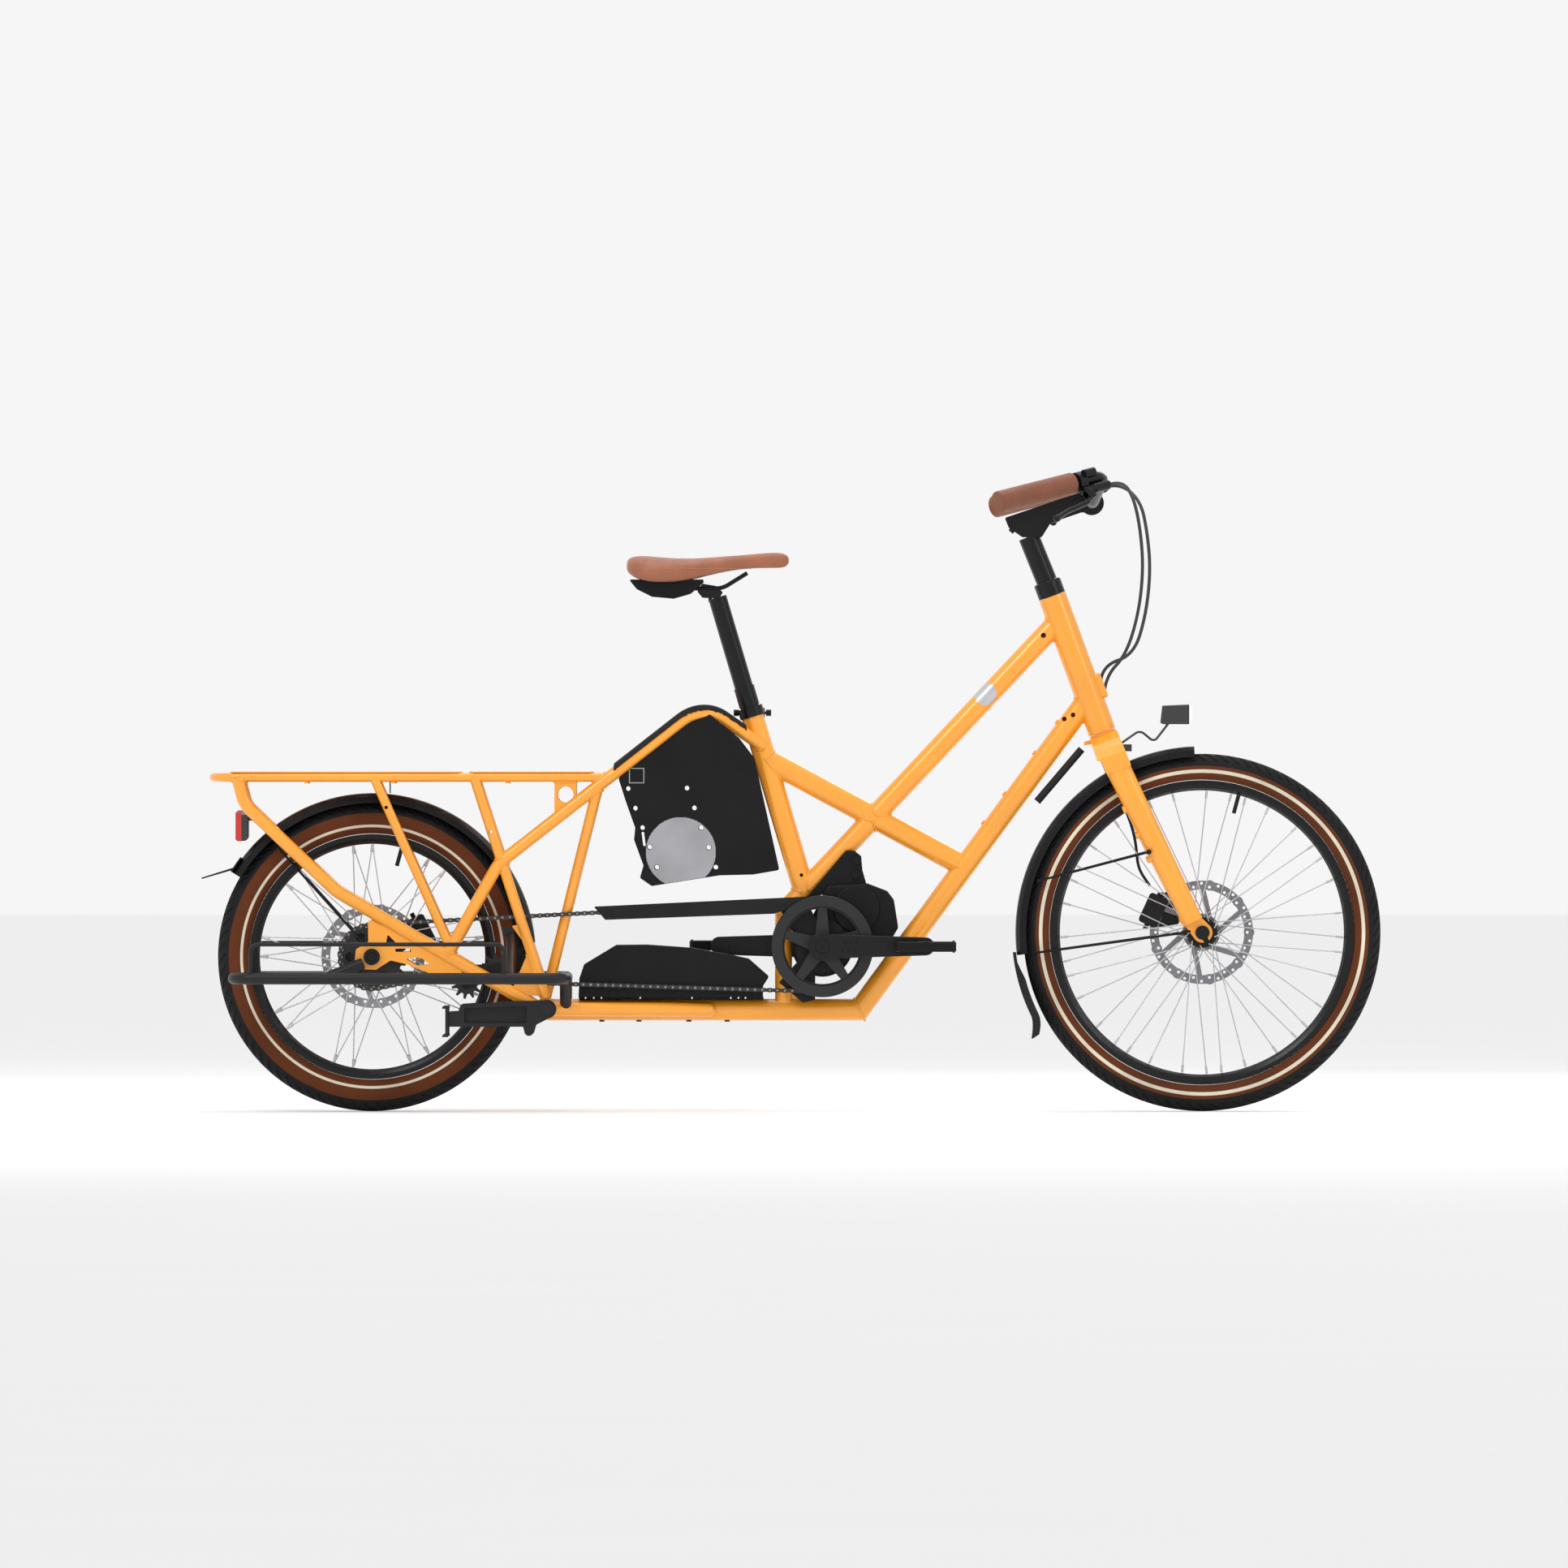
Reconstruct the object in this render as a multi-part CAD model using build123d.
from build123d import *
import os
from math import atan2, cos, degrees, hypot, pi, radians, sin, sqrt, tan

# Cargo bicycle, millimetres. +X is forward, +Y is the bicycle's left, +Z is up.
# The origin is on the ground, under the middle of the whole bicycle.

# ---- driving dimensions ---------------------------------------------------
FRONT_AXLE = (697.3, 304.0)  # X and Z
REAR_AXLE = (-713.0, 263.0)
FRONT_TYRE_RADIUS = 304.0
REAR_TYRE_RADIUS = 263.0
FRONT_TYRE_WIDTH = 50.0
REAR_TYRE_WIDTH = 58.0
HEAD_TOP = (443.0, 875.7)
HEAD_BOTTOM = (527.9, 644.5)
HEAD_DIAMETER = 48.0
MAIN_TUBE = 36.0
DOWN_TUBE_DIAMETER = 37.0
SEAT_TUBE_DIAMETER = 38.0
CRANK_AXLE = (51.9, 280.8)
CRANK_LENGTH = 175.0
CHAIN_PLANE = -50.0
RACK_HEIGHT = 567.7
RACK_HALF_WIDTH = 71.0
BOTTOM_HEIGHT = 172.8
SEATPOST_DIAMETER = 31.6
LOOP_DIAMETER = 21.0
WALL = 1.6
FIT = 0.05  # radial clearance of a running fit


# ---- geometry helpers -----------------------------------------------------
def at(point, y=0.0):
    """A point of the side view, at a distance y from the middle plane."""
    return Vector(point[0], y, point[1])


def rod(start, end, diameter, bore=0.0):
    """A straight round bar or tube between two points."""
    start = Vector(start)
    run = Vector(end) - start
    section = Plane(origin=start, z_dir=run) * Circle(diameter / 2)
    solid = extrude(section, run.length)
    if bore:
        longer = run.normalized() * 0.5
        hole = Plane(origin=start - longer, z_dir=run) * Circle(bore / 2)
        solid -= extrude(hole, run.length + 1.0)
    return solid


def pipe(points, radii, diameter, bore=0.0):
    """A round bar or tube along straight runs joined by tangent arcs."""
    path = FilletPolyline(*points, radius=radii)
    start = Plane(origin=path @ 0, z_dir=path % 0)
    solid = sweep(start * Circle(diameter / 2), path=path)
    if bore:
        solid -= sweep(start * Circle(bore / 2), path=path)
    return solid


def disc(centre, radius, y_low, y_high, bore=0.0):
    """A round plate about an axis along Y."""
    solid = rod(at(centre, y_low), at(centre, y_high), 2 * radius, 2 * bore)
    return solid


def slab(face, y_low, y_high):
    """A face drawn in X and Z, given a thickness along Y."""
    return extrude(Plane.XZ.offset(-y_high) * face, y_high - y_low)


def outline(points, corner=0.0):
    """A closed outline in X and Z, with its corners rounded."""
    if corner:
        return make_face(FilletPolyline(*points, radius=corner, close=True))
    return make_face(Polyline(*points, close=True))


def plate(points, y_low, y_high, corner=0.0):
    return slab(outline(points, corner), y_low, y_high)


def box_between(low, high):
    size = [h - l for l, h in zip(low, high)]
    middle = [(h + l) / 2 for l, h in zip(low, high)]
    return Pos(*middle) * Box(*size)


def meet(a, b, c, d):
    """Where the line through a and b meets the line through c and d."""
    ax, az = b[0] - a[0], b[1] - a[1]
    cx, cz = d[0] - c[0], d[1] - c[1]
    share = ((c[0] - a[0]) * cz - (c[1] - a[1]) * cx) / (ax * cz - az * cx)
    return (a[0] + share * ax, a[1] + share * az)


def along(a, b, distance):
    """The point at a distance from a on the line towards b."""
    length = hypot(b[0] - a[0], b[1] - a[1])
    share = distance / length
    return (a[0] + (b[0] - a[0]) * share, a[1] + (b[1] - a[1]) * share)


def polar(centre, radius, angle):
    """A point of the side view round a centre; the angle is in degrees from +X towards +Z."""
    turn = radians(angle)
    return (centre[0] + radius * cos(turn), centre[1] + radius * sin(turn))


def turned(centre, half_profile):
    """A solid of revolution about Y. The outline gives distance from the axis, then Y."""
    face = make_face(Polyline(*half_profile, close=True))
    solid = revolve(Plane.XY * face, axis=Axis.Y)
    return Pos(centre[0], 0, centre[1]) * solid


NODES = {}


def node(name, *pieces):
    """Keep the solids of one named sub-part."""
    solids = []
    for piece in pieces:
        items = piece if isinstance(piece, (list, tuple)) else [piece]
        for item in items:
            solids.extend(item.solids())
    NODES[name] = solids


def cut(piece, *tools):
    """A piece with several others taken out of it."""
    for tool in tools:
        piece = piece - tool
    return piece


def biggest(piece):
    """The largest solid of a shape that a cut has left in several."""
    return sorted(piece.solids(), key=lambda s: s.volume)[-1]


# ---- lines of the main frame ----------------------------------------------
TOP_LINE = ((438.8, 818.3), (13.8, 365.7))
DOWN_LINE = ((494.0, 688.6), (115.0, BOTTOM_HEIGHT))
SEAT_LINE = ((-71.0, 685.9), (13.8, 398.8))
CROSS_LINE = ((-46.5, 600.0), (293.7, 416.0))
POST_X = -14.0
POST_DIAMETER = 29.0
STAND_PIVOT = (-415.5, 174.4)
STAND_TUBE = 30.0
RAIL_DIAMETER = 24.0
STAY_DIAMETER = 22.0
RACK_TUBE = 15.5
RACK_FRONT = -310.0
RACK_REAR = -989.5

HEAD_JOIN_TOP = meet(HEAD_TOP, HEAD_BOTTOM, *TOP_LINE)
HEAD_JOIN_DOWN = meet(HEAD_TOP, HEAD_BOTTOM, *DOWN_LINE)
CORNER = DOWN_LINE[1]
SEAT_JOIN = meet(*SEAT_LINE, *TOP_LINE)
CROSS_SEAT_JOIN = meet(*CROSS_LINE, *SEAT_LINE)
CROSS_DOWN_JOIN = meet(*CROSS_LINE, *DOWN_LINE)
TOP_TUBE_END = (-20.7, 329.8)

BEARING_SEAT = 42.0
BEARING_HEIGHT = 8.0
STEERER_DIAMETER = 28.6
HOSE_DIAMETER = 5.8


def main_outers():
    """The outer cylinders of the main tubes, used to cope the tubes that meet them."""
    outers = {}
    outers["head"] = rod(at(HEAD_TOP), at(HEAD_BOTTOM), HEAD_DIAMETER)
    outers["top"] = rod(at(HEAD_JOIN_TOP), at(TOP_TUBE_END), MAIN_TUBE)
    outers["down"] = rod(at(HEAD_JOIN_DOWN), at(CORNER), DOWN_TUBE_DIAMETER)
    outers["seat"] = rod(at(SEAT_LINE[0]), at(SEAT_JOIN), SEAT_TUBE_DIAMETER)
    outers["bottom"] = rod(
        at(CORNER), at((STAND_PIVOT[0], BOTTOM_HEIGHT)), DOWN_TUBE_DIAMETER
    )
    outers["pivot"] = rod(at(STAND_PIVOT, -90), at(STAND_PIVOT, 90), STAND_TUBE)
    return outers


OUTER = main_outers()


def boss(point, line, diameter, height, side=1):
    """A small round boss standing on a tube, square to the tube's line in the side view."""
    run = at(line[1]) - at(line[0])
    square = Vector(-run.Z, 0, run.X).normalized() * side
    foot = at(point) - square * 3
    return rod(foot, at(point) + square * height, diameter)


def side_hole(point, diameter, reach=60):
    return disc(point, diameter / 2, -reach, 0)


def make_head_tube():
    tube = rod(at(HEAD_TOP), at(HEAD_BOTTOM), HEAD_DIAMETER, 36.0)
    for end, other in ((HEAD_TOP, HEAD_BOTTOM), (HEAD_BOTTOM, HEAD_TOP)):
        inner = along(end, other, BEARING_HEIGHT)
        outer = along(end, other, -1)
        tube -= rod(at(outer), at(inner), BEARING_SEAT)
    axis_run = (at(HEAD_BOTTOM) - at(HEAD_TOP)).normalized()
    forward = Vector(-axis_run.Z, 0, axis_run.X)
    port_middle = at(along(HEAD_TOP, HEAD_BOTTOM, 171)) + forward * 26
    port_plane = Plane(origin=port_middle, x_dir=(0, 1, 0), z_dir=forward)
    block = extrude(port_plane.offset(-8) * RectangleRounded(26, 44, 6), 13)
    block = fillet(block.faces().sort_by(Axis(port_middle, forward))[-1].edges(), 3)
    for points in hose_routes():
        block -= pipe(points, flowing_radii(points), HOSE_DIAMETER + 0.2)
    tube = cut(tube + cut(block, OUTER["head"]), rod(at(HEAD_TOP), at(HEAD_BOTTOM), 35.9))
    node("head_tube", tube)
    bearings = []
    for end, other in ((HEAD_TOP, HEAD_BOTTOM), (HEAD_BOTTOM, HEAD_TOP)):
        low = along(end, other, 0.3)
        high = along(end, other, BEARING_HEIGHT - 0.2)
        bearings.append(
            rod(at(low), at(high), BEARING_SEAT - 0.1, STEERER_DIAMETER + 2 * FIT)
        )
    node("headset_bearings", bearings)


def make_main_tubes():
    bore = MAIN_TUBE - 2 * WALL
    top = rod(at(HEAD_JOIN_TOP), at(TOP_TUBE_END), MAIN_TUBE, bore)
    top -= side_hole((427.8, 809.0), 9)
    top = biggest(cut(top, OUTER["head"]))
    node("top_tube", top)

    down_bore = DOWN_TUBE_DIAMETER - 2 * WALL
    past_corner = along(DOWN_LINE[0], CORNER, 640.1 + 40)
    down = rod(at(HEAD_JOIN_DOWN), at(past_corner), DOWN_TUBE_DIAMETER, down_bore)
    down_way = (at(CORNER) - at(DOWN_LINE[0])).normalized()
    mitre = Plane(origin=at(CORNER), z_dir=down_way + Vector(-1, 0, 0))
    down = split(down, bisect_by=mitre, keep=Keep.BOTTOM)
    down = biggest(cut(down, OUTER["head"]))
    for hole in ((478.0, 673.9), (463.3, 667.0)):
        down -= side_hole(hole, 8)
    half = DOWN_TUBE_DIAMETER / 2
    bosses = []
    for distance in (47.0, 112.0, 198.0, 259.0):
        spot = along(DOWN_LINE[0], CORNER, distance)
        normal = Vector(down_way.Z, 0, -down_way.X)
        if normal.Z < 0:
            normal = normal * -1
        foot = at(spot) + normal * (half - 1)
        bosses.append(rod(foot, foot + normal * 3.5, 9, 5))
    down = down + bosses
    node("down_tube", biggest(down))

    seat_bore = SEATPOST_DIAMETER + 2 * FIT
    seat = rod(at(SEAT_LINE[0]), at(SEAT_JOIN), SEAT_TUBE_DIAMETER, seat_bore)
    seat = cut(seat, OUTER["top"], side_hole((16.3, 401.6), 6))
    node("seat_tube", biggest(seat))

    cross = rod(at(CROSS_SEAT_JOIN), at(CROSS_DOWN_JOIN), SEAT_TUBE_DIAMETER, 34.8)
    cross = cut(cross, OUTER["seat"], OUTER["top"], OUTER["down"])
    runs = sorted(cross.solids(), key=lambda s: s.volume)[-2:]
    node("cross_tube", runs)


def make_bottom():
    bore = DOWN_TUBE_DIAMETER - 2 * WALL
    past = (CORNER[0] + 40, BOTTOM_HEIGHT)
    tube = rod(at(past), at((STAND_PIVOT[0], BOTTOM_HEIGHT)), DOWN_TUBE_DIAMETER, bore)
    down_way = (at(CORNER) - at(DOWN_LINE[0])).normalized()
    mitre = Plane(origin=at(CORNER), z_dir=down_way + Vector(-1, 0, 0))
    tube = split(tube, bisect_by=mitre, keep=Keep.TOP)
    tube = biggest(cut(tube, OUTER["pivot"]))
    post = rod(at((POST_X, 345)), at((POST_X, BOTTOM_HEIGHT)), POST_DIAMETER, 25.0)
    post = biggest(cut(post, OUTER["top"], OUTER["bottom"]))
    web = plate(((POST_X, 186), (16, 186), (2, 214), (POST_X, 214)), -4, 4)
    post_outer = rod(at((POST_X, 345)), at((POST_X, 170)), POST_DIAMETER)
    web = biggest(cut(web, OUTER["bottom"], post_outer))
    rails = []
    for side in (-1, 1):
        front = Vector(-141, side * 20, BOTTOM_HEIGHT)
        rear = Vector(STAND_PIVOT[0], side * RACK_HALF_WIDTH, STAND_PIVOT[1])
        rail = rod(front, rear, RAIL_DIAMETER)
        nose = Pos(front) * Sphere(RAIL_DIAMETER / 2)
        rail = biggest(cut(rail + nose, OUTER["bottom"], OUTER["pivot"]))
        rails.append(rail)
    pivot = rod(at(STAND_PIVOT, -83), at(STAND_PIVOT, 83), STAND_TUBE, 16.0)
    node("bottom_tube", tube, post, web, rails, pivot)


# ---- carrier, loops and stays ---------------------------------------------
LOOP_APEX = (-151.5, 691.8)
LOOP_KNEE = (-498.2, 420.9)
LOOP_FOOT = (-586.5, 263.6)
STAY_TOP = (-941.0, RACK_HEIGHT)
STAY_SHOULDER = (-929.0, 522.0)
STAY_BEND = (-772.8, 374.0)
STAY_FOOT = (-428.0, 174.4)
LONG_STRUT = ((-709.3, RACK_HEIGHT), (-582.4, 284.3))
MIDDLE_STRUT = ((-538.9, RACK_HEIGHT), (-417.2, 193.2))
INNER_STRUT = ((-328.4, 72.0, 556.0), (-421.0, 11.0, 182.0))
DECK_THICKNESS = 2.0


def loop_points(side):
    y = side * RACK_HALF_WIDTH
    return [(-50.0, side * 11, 621.0), at(LOOP_APEX, y), at(LOOP_KNEE, y), at(LOOP_FOOT, y)]


def stay_points(side):
    y = side * RACK_HALF_WIDTH
    return [at(p, y) for p in (STAY_TOP, STAY_SHOULDER, STAY_BEND, STAY_FOOT)]


def hoop_points():
    y = RACK_HALF_WIDTH
    return [
        (RACK_FRONT, -y, RACK_HEIGHT),
        (RACK_REAR + RACK_TUBE / 2, -y, RACK_HEIGHT),
        (RACK_REAR + RACK_TUBE / 2, y, RACK_HEIGHT),
        (RACK_FRONT, y, RACK_HEIGHT),
    ]


def make_loops_and_stays():
    loop_bore = LOOP_DIAMETER - 2 * WALL
    stay_bore = STAY_DIAMETER - 2 * WALL
    hoop = pipe(hoop_points(), 46, RACK_TUBE)
    loops, stays, plates, struts = [], [], [], []
    bottom_pivot = OUTER["pivot"]
    for side in (-1, 1):
        y = side * RACK_HALF_WIDTH
        loop_outer = pipe(loop_points(side), [59, 60], LOOP_DIAMETER)
        stay_outer = pipe(stay_points(side), [48, 90], STAY_DIAMETER)
        rail_front = Vector(-141, side * 20, BOTTOM_HEIGHT)
        rail_rear = Vector(STAND_PIVOT[0], y, STAND_PIVOT[1])
        rail_outer = rod(rail_front, rail_rear, RAIL_DIAMETER)
        loop = pipe(loop_points(side), [59, 60], LOOP_DIAMETER, loop_bore)
        loops.append(biggest(cut(loop, OUTER["seat"], stay_outer)))
        stay = pipe(stay_points(side), [48, 90], STAY_DIAMETER, stay_bore)
        stays.append(biggest(cut(stay, hoop, bottom_pivot, rail_outer)))
        long_strut = rod(at(LONG_STRUT[0], y), at(LONG_STRUT[1], y), 16, 13)
        long_strut -= disc((-688.6, 516.7), 3, -100, 100)
        hanger = dropout(side, stay_outer, loop_outer)
        struts.append(biggest(cut(long_strut, hoop, loop_outer, stay_outer, hanger)))
        middle = rod(at(MIDDLE_STRUT[0], y), at(MIDDLE_STRUT[1], y), 18, 15)
        middle -= disc((-511.7, 475.3), 3, -100, 100)
        middle = cut(middle, hoop, loop_outer, stay_outer, rail_outer, bottom_pivot)
        struts.extend(sorted(middle.solids(), key=lambda s: s.volume)[-2:])
        top, foot = INNER_STRUT
        inner_start = Vector(top[0], side * top[1], top[2])
        inner_end = Vector(foot[0], side * foot[1], foot[2])
        inner = rod(inner_start, inner_end, 18, 15)
        inner = cut(inner, loop_outer, bottom_pivot, OUTER["bottom"])
        struts.append(biggest(inner))
        plates.append(hanger)
        low_gusset = plate(((-478, 200), (-449, 268), (-424, 196)), y - 2, y + 2)
        middle_outer = rod(at(MIDDLE_STRUT[0], y), at(MIDDLE_STRUT[1], y), 18)
        rail_cut = cut(low_gusset, stay_outer, middle_outer, rail_outer, bottom_pivot)
        plates.append(biggest(rail_cut))
        caliper_tab = plate(
            ((-476, 316), (-455, 318), (-445, 290), (-458, 291)), y - 2, y + 2, 2
        )
        plates.append(biggest(cut(caliper_tab, middle_outer)))
        web = plate(
            ((-403, 566), (-366, 566), (-366, 515), (-403, 485)), y - 1.5, y + 1.5
        )
        web -= disc((-384.5, 538.6), 13.7, -100, 100)
        plates.append(biggest(cut(web, hoop, loop_outer)))
    loops_outer = [pipe(loop_points(s), [59, 60], LOOP_DIAMETER) for s in (-1, 1)]
    stays_outer = [pipe(stay_points(s), [48, 90], STAY_DIAMETER) for s in (-1, 1)]
    rail = pipe(hoop_points(), 46, RACK_TUBE, RACK_TUBE - 2.4)
    rail = biggest(cut(rail, *loops_outer))
    bars = []
    for x in (-930.0, -824.0, -676.0, -482.6, -350.0):
        bar = rod((x, -RACK_HALF_WIDTH, RACK_HEIGHT), (x, RACK_HALF_WIDTH, RACK_HEIGHT), 12)
        bars.append(biggest(cut(bar, hoop, *stays_outer)))
        if -900 < x < -400:
            for side in (-1, 1):
                nub = (x, side * RACK_HALF_WIDTH, RACK_HEIGHT - 6)
                low = (x, side * RACK_HALF_WIDTH, RACK_HEIGHT - RACK_TUBE / 2 - 2.5)
                bars.append(biggest(cut(rod(nub, low, 7), hoop)))
    node("side_loops", loops)
    node("rear_stays", stays, plates)
    node("carrier_frame", rail, bars, struts)


def dropout(side, stay_outer, loop_outer):
    """The plate that carries the rear axle, hung under the stay."""
    points = (
        (-719.5, 328.4),
        (-719.0, 288.0),
        (-740.0, 276.0),
        (-742.0, 256.0),
        (-728.0, 242.0),
        (-706.0, 241.0),
        (-681.0, 257.0),
        (-652.7, 250.0),
        (-600.0, 229.0),
        (-560.0, 228.0),
        (-560.0, 250.0),
    )
    inner, outer = sorted((side * 68.0, side * 74.0))
    blade = plate(points, inner, outer, 5)
    blade -= disc(REAR_AXLE, 6.1, -100, 100)
    triangle = ((-686, 301), (-689.5, 283), (-668, 283))
    window = (
        (-656.2, 259.7),
        (-640, 262.0),
        (-628, 260.5),
        (-614.1, 249.2),
        (-636.0, 248.6),
    )
    slot = ((-673, 271.5), (-673, 277), (-646.6, 277), (-646.6, 271.5))
    for hole in (triangle, window, slot):
        blade -= plate(hole, -100, 100, 1.5)
    return biggest(cut(blade, stay_outer, loop_outer))


def make_deck():
    top = RACK_HEIGHT + RACK_TUBE / 2
    plates = []
    for rear, front in ((-953.0, -560.0), (-547.6, -336.0)):
        sheet = box_between((rear, -76, top), (front, 76, top + DECK_THICKNESS))
        sheet = fillet(sheet.edges().filter_by(Axis.Z), 10)
        count = int((front - rear - 60) // 55)
        pitch = (front - rear - 60) / count
        for i in range(count):
            x = rear + 30 + pitch * (i + 0.5)
            for y in (-30, 30):
                slot = Pos(x, y, top) * SlotOverall(44, 12, rotation=90)
                sheet -= extrude(slot, 2 * DECK_THICKNESS, both=True)
        plates.append(sheet)
    node("carrier_deck", plates)


# ---- motor and battery ----------------------------------------------------
MOTOR_HALF = 38.0
MOTOR_FACE = -MOTOR_HALF - 3.0  # outer face of the bearing ring on the right
BATTERY_HALF = 42.0
BATTERY_BASE = 191.3


def make_motor():
    bracket_points = (
        (92, 443.4),
        (106, 443.4),
        (118, 434),
        (120, 410.3),
        (127, 386),
        (60, 372),
        (15, 352),
    )
    bracket = []
    for side in (-1, 1):
        low, high = sorted((side * 19.0, side * 24.0))
        sheet = plate(bracket_points, low, high, 3)
        for bolt in ((110.8, 427.5), (109.0, 403.0)):
            sheet -= disc(bolt, 4, -100, 100)
        bracket.append(biggest(cut(sheet, OUTER["top"])))
    bolts = [disc(b, 3.9, -29, 29) for b in ((110.8, 427.5), (109.0, 403.0))]
    heads = []
    for b in ((110.8, 427.5), (109.0, 403.0)):
        for low, high in ((-33.0, -24.0), (24.0, 33.0)):
            heads.append(disc(b, 7, low, high))
    bolts = [bolt + [heads[2 * i], heads[2 * i + 1]] for i, bolt in enumerate(bolts)]

    body_points = (
        (60, 384),
        (128, 387.8),
        (162.3, 374.7),
        (173.5, 360),
        (181, 312),
        (170.3, 294),
        (112, 262),
        (20, 300),
    )
    body = slab(outline(body_points, 9), -MOTOR_HALF, MOTOR_HALF)
    body += disc(CRANK_AXLE, 52, -MOTOR_HALF, MOTOR_HALF)
    body = fillet(body.faces().filter_by(Axis.Y).edges(), 5)
    core_space = disc((109.6, 344.3), 34, -MOTOR_HALF + 4, MOTOR_HALF - 4)
    body -= core_space
    body -= disc(CRANK_AXLE, 15.1, -60, 60)
    clear_tube = rod(at(HEAD_JOIN_DOWN), at(CORNER), DOWN_TUBE_DIAMETER + 1)
    clear_top = rod(at(HEAD_JOIN_TOP), at(TOP_TUBE_END), MAIN_TUBE)
    clear_post = rod(at((POST_X, 345)), at((POST_X, 170)), POST_DIAMETER)
    bracket_space = [plate(bracket_points, s * 21.5 - 2.5, s * 21.5 + 2.5, 3) for s in (-1, 1)]
    body = cut(body, clear_tube, clear_top, clear_post, *bracket_space, *bolts)
    caps = []
    for low, high in ((-MOTOR_HALF - 5, -MOTOR_HALF), (MOTOR_HALF, MOTOR_HALF + 5)):
        cap = disc((109.6, 344.3), 40, low, high)
        outer_face = cap.faces().sort_by(Axis.Y)[0 if low < 0 else -1]
        caps.append(fillet(outer_face.edges(), 3))
    hub_ring = disc(CRANK_AXLE, 30, -MOTOR_HALF - 3, -MOTOR_HALF, 15.1)
    node("motor_housing", biggest(body), caps, hub_ring, bracket, bolts)
    stator = disc((109.6, 344.3), 33.6, -26, 18, 22)
    rotor = disc((109.6, 344.3), 21.5, -24, 16, 5)
    shaft = disc((109.6, 344.3), 4.9, -32, 26)
    board = disc((109.6, 344.3), 30, 27, 29)
    bearings = [disc(CRANK_AXLE, 15.05, low, low + 7, 12.05) for low in (-36.0, 29.0)]
    node("motor_core", stator, rotor, shaft, board, bearings)


def make_battery():
    points = (
        (-362.5, 194.5),
        (-361.0, 226.3),
        (-353.0, 250.0),
        (-298.4, 282.9),
        (-245.6, 283.4),
        (-171.5, 278.1),
        (-102.5, 265.8),
        (-73.1, 259.4),
        (-38.6, 229.1),
        (-49.0, 213.0),
        (-49.0, 194.5),
    )
    block = plate(points, -BATTERY_HALF, BATTERY_HALF)
    wedge_points = ((BATTERY_HALF - 9, 300), (BATTERY_HALF + 20, 300), (BATTERY_HALF + 20, 236))
    for side in (-1, 1):
        wedge = make_face(Polyline(*[(side * y, z) for y, z in wedge_points], close=True))
        block -= extrude(Plane.YZ.offset(-380) * wedge, 360)
    long_edges = block.edges().filter_by(Axis.Y)
    block = fillet(long_edges.filter_by(lambda e: e.center().Z > 200), 4)
    hollow = box_between((-350, -38, 199), (-60, 38, 226))
    block -= hollow
    base = box_between((-362, -34, BATTERY_BASE - 0.3), (-48, 34, 194.5))
    for x in (-352, -338, -325, -259, -171, -105, -92, -80):
        base -= box_between((x, -60, 180), (x + 2.5, 60, 194.5))
    pads = []
    for piece in base.solids():
        pads.append(biggest(cut(piece, OUTER["bottom"], *rail_outers())))
    screws = []
    for x in (-323.0, -260.0, -175.0, -110.0):
        screw = rod((x, 0, BOTTOM_HEIGHT - 17.5), (x, 0, BOTTOM_HEIGHT - 20.6), 9)
        screws.append(biggest(cut(screw, OUTER["bottom"])))
    node("battery_shell", biggest(block), pads, screws)
    cells = []
    pitch = 21.4
    for i in range(13):
        for y in (-22.0, 0.0, 22.0):
            cells.append(rod((-338 + i * pitch, y, 200), (-338 + i * pitch, y, 225), 20.6))
    node("battery_cells", cells)


def rail_outers():
    outers = []
    for side in (-1, 1):
        front = Vector(-141, side * 20, BOTTOM_HEIGHT)
        rear = Vector(STAND_PIVOT[0], side * RACK_HALF_WIDTH, STAND_PIVOT[1])
        outers.append(rod(front, rear, RAIL_DIAMETER) + Pos(front) * Sphere(RAIL_DIAMETER / 2))
    return outers


# ---- side panels and pads -------------------------------------------------
PANEL_THICKNESS = 3.0
PANEL_BEND_X = -128.0
PANEL_ANGLE = 29.0


def make_panels():
    edge = (
        (-294.4, 566.1),
        (-282.2, 527.6),
        (-266.0, 482.0),
        (-268.0, 462.0),
        (-252.0, 418.0),
        (-258.0, 397.0),
        (-238.0, 383.1),
        (-122.3, 401.3),
        (-65.6, 402.5),
        (-21.0, 410.1),
        (-63.5, 600.4),
        (-89.8, 635.0),
        (-151.0, 684.0),
    )
    holes = (
        (-278.1, 548.7),
        (-265.9, 515.4),
        (-253.8, 482.3),
        (-178.2, 549.5),
        (-165.6, 515.8),
        (-153.9, 482.3),
        (-241.6, 449.5),
        (-141.3, 448.6),
        (-229.1, 415.1),
        (-129.2, 415.1),
    )
    inward = (-10 - PANEL_BEND_X) * tan(radians(PANEL_ANGLE))
    half = PANEL_THICKNESS / 2
    panels = []
    for side in (-1, 1):
        y = side * RACK_HALF_WIDTH
        middle = FilletPolyline(
            (-310, y), (PANEL_BEND_X, y), (-10, y - side * inward), radius=60
        )
        sheet = extrude(offset_strip(middle, half), 330)
        sheet = Pos(0, 0, 370) * sheet
        panel = sheet & plate(edge, -100, 100, 4)
        for hole in holes:
            panel -= disc(hole, 4, -100, 100)
        panel -= plate(
            ((-256, 475), (-251, 475), (-248, 451), (-253, 451)), -100, 100, 1.5
        )
        loop_outer = pipe(loop_points(side), [59, 60], LOOP_DIAMETER + 0.2)
        seat_space = rod(at(SEAT_LINE[0]), at(SEAT_JOIN), SEAT_TUBE_DIAMETER + 2)
        panels.append(biggest(cut(panel, loop_outer, seat_space)))
    node("side_panels", panels)


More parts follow.
